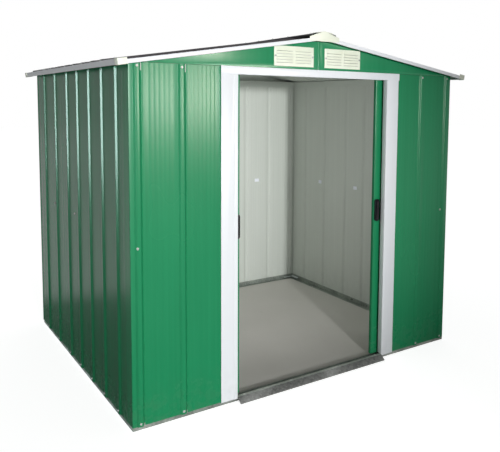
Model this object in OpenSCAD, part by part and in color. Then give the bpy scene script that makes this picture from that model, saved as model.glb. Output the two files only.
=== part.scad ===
// Small metal garden shed with an apex roof and a pair of sliding doors.
// Millimetres. +Z is up, the front with the doors faces -Y, and the origin is on the ground
// under the middle of the footprint.

/* [Body] */
// Width across the front, over the wall ribs
body_w = 2000; // [1900:10:2600]
// Depth from the front wall to the back wall, over the ribs
body_d = 1660; // [1300:10:2600]
// Height of the side walls, from the ground to the top of the top rails
wall_h = 1620; // [1400:1:2100]
// Roof pitch, in degrees
roof_pitch = 9; // [6:0.5:14]

/* [Sheet] */
// Thickness of the wall, gable and roof sheets
sheet_t = 1; // [0.8:0.1:1.5]
// Thickness of the folded rails
rail_t = 1.5; // [1.2:0.1:2.5]
// Height of the ribs pressed in the wall sheets
wall_rib_h = 8; // [5:0.5:12]
// Width of a wall rib across its flat top
wall_rib_top = 22; // [14:1:30]
// Width of a wall rib at its foot
wall_rib_foot = 34; // [32:1:44]
// Height of the ribs pressed in the roof sheets
roof_rib_h = 12; // [8:0.5:18]
// Width of a roof rib across its flat top
roof_rib_top = 22; // [14:1:28]
// Width of a roof rib at its foot
roof_rib_foot = 36; // [30:1:44]

/* [Wall panels] */
// Bottom edge of the wall sheets above the ground
panel_z0 = 17; // [8:1:22]
// Length of each leg of a folded corner
corner_leg = 74; // [66:1:90]
// Distance from a corner to the middle of the first rib of the front and back walls
front_rib_first = 44; // [40:1:50]
// Pitch of the ribs of the front and back walls
front_rib_pitch = 206; // [160:1:220]
// Distance from the front to the first rib of a side wall
side_rib_first = 170; // [110:1:210]
// Pitch of the ribs in the front sheet of a side wall
side_pitch_front = 201; // [150:1:230]
// Pitch of the ribs in the rear sheet of a side wall
side_pitch_rear = 251; // [180:1:280]
// Ribs in the front sheet of a side wall
side_ribs_front = 5; // [3:1:6]

/* [Base] */
// Height of the base rails at the sides and back
base_rail_h = 45; // [35:1:60]
// Width of the flange of the side and back base rails on the ground
base_flange_w = 60; // [50:1:80]
// Height of the upright lip of the front base rail
sill_h = 28; // [24:1:34]
// Width of the front base rail on the ground, with the door track
sill_flange_w = 76; // [74:1:90]
// Height of the ridge that the doors run on
track_ridge_h = 12; // [8:1:14]
// Thickness of the ridges that guide the doors
track_ridge_t = 3; // [2:0.5:4]
// Reach of the ramp in front of the front wall
ramp_reach = 36; // [28:1:44]
// Thickness of the ramp plate
ramp_t = 2; // [1.5:0.1:3]
// Thickness of the floor sheet
floor_t = 6; // [4:0.5:12]
// Overlap of the floor sheet on the base flanges
floor_lap = 12; // [8:1:16]
// Radius of the anchor holes in the side base rails
anchor_r = 4.5; // [3.5:0.5:5]
// Distance of the anchor holes from the ribs of the side walls
anchor_inset = 32; // [30:1:36]
// Distance between the two anchor holes of one rail
anchor_pitch = 1000; // [600:10:1100]

/* [Doorway] */
// Clear width between the door jambs
door_w = 940; // [800:2:960]
// Height of the lintel, from its underside to the top of the walls
lintel_h = 37; // [32:1:60]
// Width of the face of a door jamb
jamb_w = 88; // [80:1:96]
// Depth of the reveal of the jambs and the lintel
reveal_d = 27; // [20:1:34]
// Width of the raised bead along the inner edge of a jamb
bead_w = 17; // [10:1:24]
// Height of that bead above the face of the jamb
bead_h = 3; // [1:0.5:4]

/* [Doors] */
// Width of a door leaf
leaf_w = 496; // [486:1:500]
// Thickness of a door leaf over its folded edges
leaf_t = 20; // [16:1:24]
// Bottom edge of a door leaf above the ground
leaf_z0 = 20; // [18:1:24]
// Top edge of a door leaf above the lintel's underside
leaf_over = 5; // [3:1:8]
// How far an open leaf shows past its jamb
leaf_show = 36; // [30:1:60]
// Gap between the two closed leaves
leaf_meet = 6; // [5:0.5:12]
// Height of a handle
handle_h = 126; // [90:1:150]
// Width of a handle
handle_w = 32; // [20:1:34]
// How far a handle stands out of the leaf
handle_out = 10; // [8:0.5:12]
// Middle of a handle above the ground
handle_z = 855; // [700:1:1000]
// Gap between a moving leaf or handle and what is fixed beside it
run_gap = 8; // [6:0.5:10]
// Gap between a door glide and the ridge that carries it
glide_gap = 0.3; // [0.2:0.1:0.5]
// Length of a door glide
glide_len = 50; // [30:1:70]

/* [Roof] */
// Overhang of the roof beyond the side walls
eave_over = 50; // [40:1:80]
// Overhang of the roof beyond the front and back walls
rake_over = 45; // [44:1:70]
// Roof ribs across one sheet
roof_ribs = 6; // [4:1:7]
// Height of the face of a rake trim
rake_face_h = 25; // [20:1:34]
// Height of the face of an eave trim
eave_face_h = 23; // [18:1:30]
// Width of the top flange of a trim
trim_flange_w = 34; // [30:1:40]
// Half width of the ridge cap, along the slope
cap_half = 110; // [80:1:150]
// Height of the ridge cap above the roof ribs
cap_rise = 14; // [8:1:20]
// Half width of an apex cap
apex_half = 92; // [80:1:120]
// Height of an apex cap at its ends
apex_end_h = 22; // [16:1:30]
// Wall of the moulded caps and vents
plastic_t = 3; // [2:0.5:4]
// Width of the ridge beam
beam_w = 60; // [40:2:80]
// Height of the sides of the ridge beam
beam_h = 38; // [25:1:50]

/* [Vents] */
// Width of a gable vent
vent_w = 236; // [180:1:260]
// Height of a gable vent
vent_h = 98; // [70:1:100]
// Distance from the middle of the gable to a vent
vent_x0 = 35; // [25:1:50]
// Distance from the bottom of the gable to a vent
vent_z0 = 12; // [8:1:16]
// Slots in each of the two columns of a vent
vent_slots = 5; // [4:1:6]

/* [Hidden] */
half_w = body_w / 2;
half_d = body_d / 2;
pan = wall_rib_h;
in_x = half_w - pan - sheet_t;
in_y = half_d - pan - sheet_t;
panel_z1 = wall_h - rail_t;

// The side ribs, measured from the front.
side_split = side_rib_first + side_pitch_front * (side_ribs_front - 1) + side_pitch_rear / 2;
side_front = [for (i = [0 : side_ribs_front - 1]) side_rib_first + i * side_pitch_front];
side_rear_first = side_front[side_ribs_front - 1] + side_pitch_rear;
side_rear_n = floor((body_d - corner_leg - wall_rib_foot / 2 - side_rear_first) / side_pitch_rear);
side_rear = [for (i = [0 : side_rear_n]) side_rear_first + i * side_pitch_rear];

// The front panels end under the jambs, and the back wall is two mirrored panels.
door_h = wall_h - lintel_h;
jamb_x0 = door_w / 2;
jamb_x1 = jamb_x0 + jamb_w;
front_panel_end = half_w - jamb_x0 - bead_w;
front_ribs = [for (x = [front_rib_first + front_rib_pitch : front_rib_pitch : front_panel_end]) x];
back_ribs = [for (x = [front_rib_first + front_rib_pitch : front_rib_pitch : half_w - wall_rib_foot]) x];

// The leaves hang behind the jambs, far enough for their handles to pass.
reveal_y = -half_d + reveal_d;
leaf_y0 = reveal_y + run_gap + handle_out;
leaf_mid = leaf_y0 + leaf_t / 2;
leaf_x = jamb_x0 - leaf_show;
leaf_z1 = door_h + leaf_over;
track_rise = 11;
track_z = leaf_z1 + track_rise;
glide_w = 14;
fork_gap = 1;
fork_drop = 5;

// The roof is drawn on its slope: u runs down from the ridge and n stands off the underside.
ridge_z = wall_h + half_w * tan(roof_pitch);
slope_len = (half_w + eave_over) / cos(roof_pitch);
rib_n = sheet_t + roof_rib_h;
trim_n = rib_n + rail_t;
roof_y = half_d + rake_over - rail_t;
rake_y = half_d + rake_over;
cap_n = rib_n + cap_rise;
sheet_gap = 4;
roof_seat = 0.05;
upstand_h = 22;
roof_pitch_y = roof_y / roof_ribs;

green = "seagreen";
white = "whitesmoke";
cream = "ivory";
zinc = "darkgray";
slate = "dimgray";

// Four points of one pressed rib: it stands out towards -Y by h from the face at y = 0.
function rib_points(x, h, top, foot) =
    [[x - foot / 2, 0], [x - top / 2, -h], [x + top / 2, -h], [x + foot / 2, 0]];

// Outline of a ribbed sheet from x = x0 to x1, with its flats at y = 0 and t thick.
function sheet_outline(x0, x1, ribs, h, top, foot, t) =
    let (face = concat([[x0, 0]], [for (x = ribs) each rib_points(x, h, top, foot)], [[x1, 0]]))
    concat(face, [for (i = [len(face) - 1 : -1 : 0]) face[i] + [0, t]]);

// A wall sheet that stands along +X, with its rib tops at y = 0.
module wall_sheet(x0, x1, ribs) {
    translate([0, wall_rib_h, panel_z0])
        linear_extrude(height = panel_z1 - panel_z0)
            polygon(sheet_outline(x0, x1, ribs, wall_rib_h, wall_rib_top, wall_rib_foot, sheet_t));
}

// Places a wall that was drawn from a front left corner: along the front, back or a side.
module on_front(side) {
    if (side < 0) translate([-half_w, -half_d, 0]) children();
    else mirror([1, 0, 0]) translate([-half_w, -half_d, 0]) children();
}

module on_back(side) {
    mirror([0, 1, 0]) on_front(side) children();
}

module on_side(side) {
    if (side < 0) translate([-half_w, -half_d, 0]) mirror([1, -1, 0]) children();
    else mirror([1, 0, 0]) translate([-half_w, -half_d, 0]) mirror([1, -1, 0]) children();
}

// A folded corner: two legs, with the first rib of the front or back wall on one of them.
module corner() {
    half_foot = wall_rib_foot / 2;
    half_top = wall_rib_top / 2;
    color(green) translate([0, 0, panel_z0]) linear_extrude(height = panel_z1 - panel_z0)
        polygon([
            [pan, corner_leg],
            [pan, pan],
            [front_rib_first - half_foot, pan],
            [front_rib_first - half_top, 0],
            [front_rib_first + half_top, 0],
            [front_rib_first + half_foot, pan],
            [corner_leg, pan],
            [corner_leg, pan + sheet_t],
            [front_rib_first + half_foot, pan + sheet_t],
            [front_rib_first + half_top, sheet_t],
            [front_rib_first - half_top, sheet_t],
            [front_rib_first - half_foot, pan + sheet_t],
            [pan + sheet_t, pan + sheet_t],
            [pan + sheet_t, corner_leg]
        ]);
}

module wall_front(side) {
    color(green) on_front(side) wall_sheet(corner_leg, front_panel_end, front_ribs);
}

module wall_back(side) {
    color(green) on_back(side) wall_sheet(corner_leg, half_w, back_ribs);
}

module wall_side_front(side) {
    color(green) on_side(side) wall_sheet(corner_leg, side_split, side_front);
}

module wall_side_rear(side) {
    color(green) on_side(side) wall_sheet(side_split, body_d - corner_leg, side_rear);
}

// The upright web and the flange on the ground, as an L from y = 0 inwards.
module base_section(web_h, flange_w) {
    polygon([[0, 0], [flange_w, 0], [flange_w, rail_t], [rail_t, rail_t], [rail_t, web_h], [0, web_h]]);
}

module base_rail_front() {
    ridge_y = leaf_mid + in_y;
    color(zinc) translate([-in_x, -in_y, 0]) rotate([90, 0, 90]) linear_extrude(height = 2 * in_x)
        union() {
            base_section(sill_h, sill_flange_w);
            translate([ridge_y - track_ridge_t / 2, 0]) square([track_ridge_t, track_ridge_h]);
        }
}

module base_rail_back() {
    color(zinc) mirror([0, 1, 0]) translate([-in_x, -in_y, 0]) rotate([90, 0, 90])
        linear_extrude(height = 2 * in_x) base_section(base_rail_h, base_flange_w);
}

module base_rail_side(side) {
    y0 = -in_y + sill_flange_w;
    y1 = in_y - base_flange_w;
    color(zinc) difference() {
        mirror([side < 0 ? 0 : 1, 0, 0]) translate([-in_x, y1, 0]) rotate([90, 0, 0])
            linear_extrude(height = y1 - y0) base_section(base_rail_h, base_flange_w);
        for (y = [-anchor_pitch / 2, anchor_pitch / 2])
            translate([side * (half_w - anchor_inset), y, -rail_t])
                cylinder(h = 3 * rail_t, r = anchor_r, $fn = 48);
    }
}

module floor_sheet() {
    x1 = in_x - base_flange_w + floor_lap;
    y0 = -in_y + sill_flange_w - floor_lap;
    y1 = in_y - base_flange_w + floor_lap;
    color("gray") translate([-x1, y0, rail_t]) cube([2 * x1, y1 - y0, floor_t]);
}

// The ramp: a folded plate that rises from the ground to the lip of the front rail.
module door_ramp() {
    toe = -half_d - ramp_reach;
    knee = -half_d;
    top = sill_h - ramp_t / 2;
    slant = ramp_t * (knee - toe) / top;
    color(zinc) translate([-jamb_x0, 0, 0]) rotate([90, 0, 90]) linear_extrude(height = door_w)
        polygon([
            [toe, 0], [knee, top], [-in_y, top],
            [-in_y, top - ramp_t], [knee + slant / 2, top - ramp_t], [toe + slant, 0]
        ]);
}

// A jamb: a face on the last rib, a raised bead, and a reveal that turns in at the opening. Its
// reveal is notched over the lip of the base rail, and its face runs up behind the lintel.
module jamb(side) {
    y0 = -half_d - sheet_t;
    bead_y = y0 - bead_h;
    tab_w = jamb_w - bead_w - bead_h;
    notch_h = sill_h - panel_z0;
    color(white) mirror([side < 0 ? 0 : 1, 0, 0]) difference() {
        union() {
            translate([-jamb_x1, y0, door_h]) cube([tab_w, sheet_t, panel_z1 - door_h]);
            translate([0, 0, panel_z0]) linear_extrude(height = door_h - panel_z0) polygon([
                [-jamb_x1, y0], [-jamb_x0 - bead_w - bead_h, y0],
                [-jamb_x0 - bead_w, bead_y], [-jamb_x0, bead_y],
                [-jamb_x0, reveal_y], [-jamb_x0 - bead_w / 2, reveal_y],
                [-jamb_x0 - bead_w / 2, reveal_y - sheet_t], [-jamb_x0 - sheet_t, reveal_y - sheet_t],
                [-jamb_x0 - sheet_t, bead_y + sheet_t], [-jamb_x0 - bead_w + sheet_t / 2, bead_y + sheet_t],
                [-jamb_x0 - bead_w - bead_h + sheet_t / 2, y0 + sheet_t], [-jamb_x1, y0 + sheet_t]
            ]);
        }
        translate([-jamb_x0 - bead_w, -in_y, panel_z0 - notch_h]) cube([2 * bead_w, reveal_d, 2 * notch_h]);
    }
}

// The lintel: a face over both jambs, with a soffit and a top fold between them.
module lintel() {
    y0 = -half_d - sheet_t - bead_h - sheet_t;
    cover = 2;
    x_in = jamb_x0 - sheet_t;
    color(white) union() {
        translate([-jamb_x1 - cover, y0, door_h])
            cube([2 * (jamb_x1 + cover), sheet_t, wall_h - door_h]);
        translate([-x_in, y0, door_h]) cube([2 * x_in, reveal_y - y0, sheet_t]);
        translate([-x_in, y0, panel_z1 - sheet_t]) cube([2 * x_in, -in_y - y0, sheet_t]);
    }
}

// A bar along the front or back that spans from -x1 to x1, with its section given as y0, z0,
// its depth and its height.
module cross_bar(x1, y0, z0, depth, height) {
    translate([-x1, y0, z0]) cube([2 * x1, depth, height]);
}

// The rail on top of the front or back wall, drawn for the front: a web behind the panels, a
// plate over them, and an upstand behind the gable that stops short of the roof sheets.
module top_rail(web_z0, plate_w) {
    cross_bar(in_x, -in_y, web_z0, rail_t, wall_h - web_z0);
    cross_bar(half_w - sheet_t, -half_d + sheet_t, panel_z1, plate_w, rail_t);
    cross_bar(half_w - (upstand_h + rail_t) / tan(roof_pitch), -half_d + sheet_t, panel_z1, rail_t, upstand_h);
}

// The front one also has the ridge that guides the tops of the doors.
module top_rail_front() {
    color(zinc) union() {
        top_rail(door_h + sheet_t, sill_flange_w + pan);
        cross_bar(in_x, leaf_mid - track_ridge_t / 2, track_z, track_ridge_t, panel_z1 - track_z + rail_t / 2);
    }
}

module top_rail_back() {
    color(zinc) mirror([0, 1, 0]) top_rail(wall_h - base_rail_h, base_flange_w + pan);
}

module top_rails_side() {
    y0 = -half_d + sheet_t + sill_flange_w + pan;
    y1 = half_d - sheet_t - base_flange_w - pan;
    color(zinc) for (side = [0, 1]) mirror([side, 0, 0]) translate([0, y1, 0]) rotate([90, 0, 0])
        linear_extrude(height = y1 - y0) union() {
            translate([-in_x, wall_h - base_rail_h]) square([rail_t, base_rail_h]);
            translate([-half_w + sheet_t, panel_z1]) square([base_flange_w / 2, rail_t]);
        }
}

// Height of what seats under the roof sheets, at a distance x from the ridge.
function under_z(x) = ridge_z - roof_seat - abs(x) * tan(roof_pitch);

module ridge_beam() {
    x1 = beam_w / 2;
    x2 = x1 - rail_t;
    y1 = half_d - sheet_t - rail_t;
    color(zinc) translate([0, y1, 0]) rotate([90, 0, 0]) linear_extrude(height = 2 * y1)
        polygon([
            [-x1, under_z(x1) - beam_h], [-x1, under_z(x1)], [0, under_z(0)], [x1, under_z(x1)],
            [x1, under_z(x1) - beam_h], [x2, under_z(x1) - beam_h], [x2, under_z(x2) - rail_t],
            [0, under_z(0) - rail_t], [-x2, under_z(x2) - rail_t], [-x2, under_z(x1) - beam_h]
        ]);
}

// Half of a gable, on the left of the middle, with the opening behind its vent.
module gable_half(opening) {
    x1 = half_w - sheet_t;
    frame = 12;
    difference() {
        polygon([[-x1, wall_h], [0, wall_h], [0, under_z(0)], [-x1, under_z(x1)]]);
        if (opening)
            translate([-vent_x0 - vent_w + frame, wall_h + vent_z0 + frame])
                square([vent_w - 2 * frame, vent_h - 2 * frame]);
    }
}

module gable_front(side) {
    color(green) mirror([side < 0 ? 0 : 1, 0, 0]) translate([0, -half_d + sheet_t, 0]) rotate([90, 0, 0])
        linear_extrude(height = sheet_t) gable_half(true);
}

module gable_back() {
    color(green) translate([0, half_d, 0]) rotate([90, 0, 0]) linear_extrude(height = sheet_t)
        union() {
            gable_half(false);
            mirror([1, 0]) gable_half(false);
        }
}

// A moulded vent with two columns of slots.
module vent(side) {
    border = 14;
    thick = 2 * plastic_t;
    slot_w = (vent_w - 3 * border) / 2;
    step = (vent_h - 2 * border) / vent_slots;
    slot_h = step / 2;
    color(cream) mirror([side < 0 ? 0 : 1, 0, 0])
        translate([-vent_x0 - vent_w, -half_d, wall_h + vent_z0]) rotate([90, 0, 0])
            linear_extrude(height = thick) difference() {
                square([vent_w, vent_h]);
                for (column = [0, 1], row = [0 : vent_slots - 1])
                    translate([border + column * (slot_w + border), border + (row + 0.25) * step])
                        square([slot_w, slot_h]);
            }
}

// Draws in slope coordinates: X runs down the slope from the ridge, Z stands off it.
module on_slope(side) {
    mirror([side < 0 ? 1 : 0, 0, 0]) translate([0, 0, ridge_z]) rotate([0, roof_pitch, 0]) children();
}

// One roof sheet, from y0 to y0 + roof_y, with its ribs running down the slope.
module roof_sheet(side, y0) {
    ribs = [for (i = [0 : roof_ribs - 1]) (i + 0.5) * roof_pitch_y];
    edge = roof_rib_foot / 2 + sheet_t;
    placed = [for (x = ribs) y0 < 0 && x < roof_pitch_y ? edge
        : y0 >= 0 && x > roof_y - roof_pitch_y ? roof_y - edge : x];
    color(slate) on_slope(side) translate([sheet_gap, y0, sheet_t]) rotate([90, 0, 90])
        linear_extrude(height = slope_len - sheet_gap) mirror([0, 1])
            polygon(sheet_outline(0, roof_y, placed, roof_rib_h, roof_rib_top, roof_rib_foot, sheet_t));
}

// A point of a section across the roof, u down the slope and n off it, and the same mirrored.
function roof_point(u, n) =
    [u * cos(roof_pitch) + n * sin(roof_pitch), ridge_z - u * sin(roof_pitch) + n * cos(roof_pitch)];
function mirrored(points) = [for (i = [len(points) - 1 : -1 : 0]) [-points[i][0], points[i][1]]];

// The ridge cap: two slopes that meet over the ridge, with lips on the roof ribs.
module ridge_cap() {
    y1 = rake_y - rail_t;
    half = [
        roof_point(cap_half + rail_t, cap_n + rail_t), roof_point(cap_half + rail_t, rib_n),
        roof_point(cap_half, rib_n), roof_point(cap_half, cap_n)
    ];
    top = [[0, ridge_z + (cap_n + rail_t) / cos(roof_pitch)]];
    under = [[0, ridge_z + cap_n / cos(roof_pitch)]];
    color(slate) translate([0, y1, 0]) rotate([90, 0, 0]) linear_extrude(height = 2 * y1)
        polygon(concat(top, half, under, mirrored(half)));
}

// Two rake trims of one end: a face in front of the sheets and a flange over their ribs.
module rake_trims() {
    u0 = cap_half + 2 * rail_t;
    face_u0 = 12;
    color(white) for (side = [-1, 1]) on_slope(side) union() {
        translate([face_u0, -rake_y, trim_n - rake_face_h])
            cube([slope_len + rail_t - face_u0, rail_t, rake_face_h]);
        translate([u0, -rake_y, rib_n]) cube([slope_len + rail_t - u0, trim_flange_w, rail_t]);
    }
}

module eave_trims() {
    y1 = roof_y;
    flange_y = rake_y - trim_flange_w;
    color(white) for (side = [-1, 1]) on_slope(side) union() {
        translate([slope_len, -y1, trim_n - eave_face_h]) cube([rail_t, 2 * y1, eave_face_h - rail_t]);
        translate([slope_len - trim_flange_w / 2, -flange_y, rib_n])
            cube([trim_flange_w / 2 + rail_t, 2 * flange_y, rail_t]);
    }
}

// A moulded cap over the apex of each end.
module apex_caps() {
    top_n = cap_n + rail_t;
    front = rake_y + plastic_t;
    end_z = under_z(apex_half) + trim_n / cos(roof_pitch) + plastic_t;
    peak_z = ridge_z + (top_n + plastic_t) / cos(roof_pitch);
    hood_d = trim_flange_w;
    hood = [roof_point(apex_half / 2, top_n + plastic_t), roof_point(apex_half / 2, top_n)];
    color(cream) for (end = [0, 1]) mirror([0, end, 0]) union() {
        translate([0, -rake_y, 0]) rotate([90, 0, 0]) linear_extrude(height = plastic_t)
            polygon([
                [-apex_half, end_z - apex_end_h], [apex_half, end_z - apex_end_h], [apex_half, end_z],
                [0, peak_z], [-apex_half, end_z]
            ]);
        translate([0, -front + hood_d, 0]) rotate([90, 0, 0]) linear_extrude(height = hood_d)
            polygon(concat([[0, peak_z]], hood, [[0, peak_z - plastic_t / cos(roof_pitch)]], mirrored(hood)));
    }
}

// Small moulded caps that wrap the ends of the trims at the four roof corners.
module corner_caps() {
    cap_len = 32;
    n0 = trim_n - rake_face_h - plastic_t / 2;
    u1 = slope_len + rail_t;
    color(cream) for (end = [0, 1], side = [-1, 1]) mirror([0, end, 0]) on_slope(side)
        translate([0, 0, n0]) linear_extrude(height = rake_face_h + plastic_t) polygon([
            [u1 - cap_len, -rake_y], [u1, -rake_y], [u1, -rake_y + cap_len],
            [u1 + plastic_t, -rake_y + cap_len], [u1 + plastic_t, -rake_y - plastic_t],
            [u1 - cap_len, -rake_y - plastic_t]
        ]);
}

// A door leaf: a folded tray that is open at the back.
module door_leaf(side) {
    fold = 14;
    color(green) mirror([side < 0 ? 0 : 1, 0, 0]) difference() {
        translate([-leaf_x - leaf_w, leaf_y0, leaf_z0]) cube([leaf_w, leaf_t, leaf_z1 - leaf_z0]);
        translate([-leaf_x - leaf_w + sheet_t, leaf_y0 + sheet_t, leaf_z0 + sheet_t])
            cube([leaf_w - 2 * sheet_t, leaf_t - 2 * sheet_t, leaf_z1 - leaf_z0 - 2 * sheet_t]);
        translate([-leaf_x - leaf_w + fold, leaf_y0 + sheet_t, leaf_z0 + fold])
            cube([leaf_w - 2 * fold, leaf_t, leaf_z1 - leaf_z0 - 2 * fold]);
    }
}

// A handle: a moulded bar with round ends on the face of the leaf, at its leading edge.
module door_handle(side) {
    r = 7;
    edge = 2;
    x0 = -leaf_x - handle_w - edge;
    color("black") mirror([side < 0 ? 0 : 1, 0, 0]) translate([0, leaf_y0, 0]) rotate([90, 0, 0])
        linear_extrude(height = handle_out) union() {
            translate([x0 + r, handle_z - handle_h / 2]) square([handle_w - 2 * r, handle_h]);
            translate([x0, handle_z - handle_h / 2 + r]) square([handle_w, handle_h - 2 * r]);
            for (x = [x0 + r, x0 + handle_w - r], z = [-1, 1])
                translate([x, handle_z + z * (handle_h / 2 - r)]) circle(r = r, $fn = 32);
        }
}

// Section of a glide fork that straddles a ridge; its base is on the leaf and its legs hang down.
module fork_section(base_h, leg) {
    inner = track_ridge_t / 2 + fork_gap;
    difference() {
        translate([-glide_w / 2, -leg]) square([glide_w, leg + base_h]);
        translate([-inner, -leg]) square([2 * inner, leg]);
    }
}

// Four glides of one leaf: two run on the bottom ridge and two are guided by the top ridge.
module door_glides(side) {
    inset = 40;
    bottom_base = leaf_z0 - track_ridge_h - glide_gap;
    top_base = 4;
    color("black") mirror([side < 0 ? 0 : 1, 0, 0])
        for (x = [-leaf_x - inset - glide_len, -leaf_x - leaf_w + inset]) {
            translate([x, leaf_mid, track_ridge_h + glide_gap]) rotate([90, 0, 90])
                linear_extrude(height = glide_len) fork_section(bottom_base, fork_drop);
            translate([x, leaf_mid, leaf_z1 + top_base]) rotate([90, 0, 90])
                linear_extrude(height = glide_len) mirror([0, 1]) fork_section(top_base, track_rise + fork_gap);
        }
}

base_rail_front();
base_rail_back();
base_rail_side(-1);  // base_rail_left
base_rail_side(1);  // base_rail_right
floor_sheet();
door_ramp();
on_front(-1) corner();  // corner_front_left
on_front(1) corner();  // corner_front_right
on_back(-1) corner();  // corner_back_left
on_back(1) corner();  // corner_back_right
wall_front(-1);  // wall_front_left
wall_front(1);  // wall_front_right
wall_back(-1);  // wall_back_left
wall_back(1);  // wall_back_right
wall_side_front(-1);  // wall_left_front
wall_side_rear(-1);  // wall_left_rear
wall_side_front(1);  // wall_right_front
wall_side_rear(1);  // wall_right_rear
jamb(-1);  // jamb_left
jamb(1);  // jamb_right
lintel();
top_rail_front();
top_rail_back();
top_rails_side();
ridge_beam();
gable_front(-1);  // gable_front_left
gable_front(1);  // gable_front_right
gable_back();
vent(-1);  // vent_left
vent(1);  // vent_right
roof_sheet(-1, -roof_y);  // roof_left_front
roof_sheet(-1, 0);  // roof_left_rear
roof_sheet(1, -roof_y);  // roof_right_front
roof_sheet(1, 0);  // roof_right_rear
ridge_cap();
rake_trims();  // rake_trims_front
mirror([0, 1, 0]) rake_trims();  // rake_trims_back
eave_trims();
apex_caps();
corner_caps();
door_leaf(-1);  // door_left
door_handle(-1);  // handle_left
door_glides(-1);  // glides_left
door_leaf(1);  // door_right
door_handle(1);  // handle_right
door_glides(1);  // glides_right
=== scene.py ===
import math

import bmesh
import bpy
from mathutils import Matrix, Vector


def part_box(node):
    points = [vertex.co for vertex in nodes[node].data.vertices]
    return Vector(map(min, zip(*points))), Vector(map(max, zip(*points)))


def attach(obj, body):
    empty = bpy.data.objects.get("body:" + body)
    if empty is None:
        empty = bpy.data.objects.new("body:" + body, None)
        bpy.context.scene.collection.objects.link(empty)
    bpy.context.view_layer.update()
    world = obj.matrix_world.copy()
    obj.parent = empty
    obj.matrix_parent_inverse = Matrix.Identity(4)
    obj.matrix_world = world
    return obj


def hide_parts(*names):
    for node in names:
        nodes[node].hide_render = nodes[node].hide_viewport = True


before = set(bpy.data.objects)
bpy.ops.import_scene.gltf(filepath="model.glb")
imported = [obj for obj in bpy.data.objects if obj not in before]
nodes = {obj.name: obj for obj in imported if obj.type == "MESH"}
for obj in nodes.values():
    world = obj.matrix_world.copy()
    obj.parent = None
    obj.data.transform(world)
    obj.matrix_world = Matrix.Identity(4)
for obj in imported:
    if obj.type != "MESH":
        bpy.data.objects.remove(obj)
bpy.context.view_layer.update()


# ---------------------------------------------------------------------------
# Base rails.
# Four strips of galvanised steel, folded to an L, lie on the ground and carry the walls. The
# zinc has set in dull crystals a few millimetres across, and it has greyed in patches.
# ---------------------------------------------------------------------------
class Wire:
    """A socket in one finish's nodes. Arithmetic on it adds Math nodes."""

    def __init__(self, tree, socket):
        self.tree = tree
        self.socket = socket

    def node(self, kind, settings, sockets, out=0):
        """Adds a node: its settings, then its sockets by name or place, each a number or a Wire."""
        made = self.tree.nodes.new(kind)
        for name, value in settings.items():
            if name == "stops":
                for stop, (place, shade) in zip(made.color_ramp.elements, value):
                    stop.position = place
                    stop.color = (*shade, 1)
            else:
                setattr(made, name, value)
        for name, value in sockets.items():
            if isinstance(value, Wire):
                self.tree.links.new(value.socket, made.inputs[name])
            else:
                made.inputs[name].default_value = value
        return Wire(self.tree, made.outputs[out])

    def maths(self, operation, a, b):
        return self.node("ShaderNodeMath", {"operation": operation}, {0: a, 1: b})

    def __add__(self, other):
        return self.maths("ADD", self, other)

    def __radd__(self, other):
        return self.maths("ADD", other, self)

    def __sub__(self, other):
        return self.maths("SUBTRACT", self, other)

    def __rsub__(self, other):
        return self.maths("SUBTRACT", other, self)

    def __mul__(self, other):
        return self.maths("MULTIPLY", self, other)

    def __rmul__(self, other):
        return self.maths("MULTIPLY", other, self)

    def grain(self, stretch, scale, detail=2.0):
        """Noise on this wire's place, squeezed or drawn out along each axis by stretch."""
        drawn = self.node("ShaderNodeVectorMath", {"operation": "MULTIPLY"}, {0: self, 1: stretch})
        return self.node("ShaderNodeTexNoise", {}, {"Vector": drawn, "Scale": scale, "Detail": detail})

    def between(self, low, high):
        """This value, spread so that low becomes 0 and high becomes 1, and held there."""
        return self.node("ShaderNodeMapRange", {"clamp": True}, {0: self, 1: low, 2: high, 3: 0.0, 4: 1.0})

    def tint(self, first, second):
        """The colour that goes from first to second as this value goes from 0 to 1."""
        return self.node("ShaderNodeMix", {"data_type": "RGBA"}, {0: self, 6: first, 7: second}, out=2)


def new_finish(name, **constant):
    """A material with its shader, whose constants are set, and the wire of Object coordinates."""
    material = bpy.data.materials.new(name)
    material.use_nodes = True
    tree = material.node_tree
    shader = tree.nodes["Principled BSDF"]
    for socket, value in constant.items():
        shader.inputs[socket.replace("_", " ")].default_value = value
    place = Wire(tree, tree.nodes.new("ShaderNodeTexCoord").outputs["Object"])
    return material, shader, place


def connect(shader, base, roughness, height, distance, strength):
    """Joins the varying values to the shader; height goes through a Bump node."""
    bump = height.node("ShaderNodeBump", {}, {"Height": height, "Distance": distance, "Strength": strength})
    for socket, wire in (("Base Color", base), ("Roughness", roughness), ("Normal", bump)):
        shader.id_data.links.new(wire.socket, shader.inputs[socket])


def zinc_finish(name, dark, pale, roughness, metallic=0.55):
    """Galvanised steel: crystals, dull patches and a few small stains."""
    material, shader, place = new_finish(name, Metallic=metallic, IOR=1.6)
    crystal = place.node(
        "ShaderNodeTexVoronoi", {"feature": "F1"}, {"Vector": place, "Scale": 110.0, "Randomness": 1.0}, out=1)
    facet = crystal.node("ShaderNodeSeparateColor", {}, {0: crystal})
    patch = place.grain((1, 1, 1), 9.0, 4.0).between(0.36, 0.66)
    fine = place.grain((1, 1, 1), 240.0, 3.0)
    tone = (0.38 * facet + 0.46 * patch + 0.22 * fine).between(0.1, 0.95)
    stain = place.grain((1, 1, 1), 31.0, 2.0).between(0.70, 0.76)
    colour = (0.75 * stain).tint(tone.tint((*dark, 1), (*pale, 1)), (0.05, 0.05, 0.045, 1))
    connect(shader, base=colour, roughness=roughness - 0.1 + 0.22 * patch,
            height=0.6 * facet + 0.4 * fine, distance=0.0004, strength=0.5)
    return material


zinc = zinc_finish("zinc_rail", (0.20, 0.225, 0.20), (0.44, 0.48, 0.44), 0.5)


def dress(piece, *finishes):
    """Gives a piece, or a CAD node, its finishes."""
    piece.data.materials.clear()
    for material in finishes:
        piece.data.materials.append(material)


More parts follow.
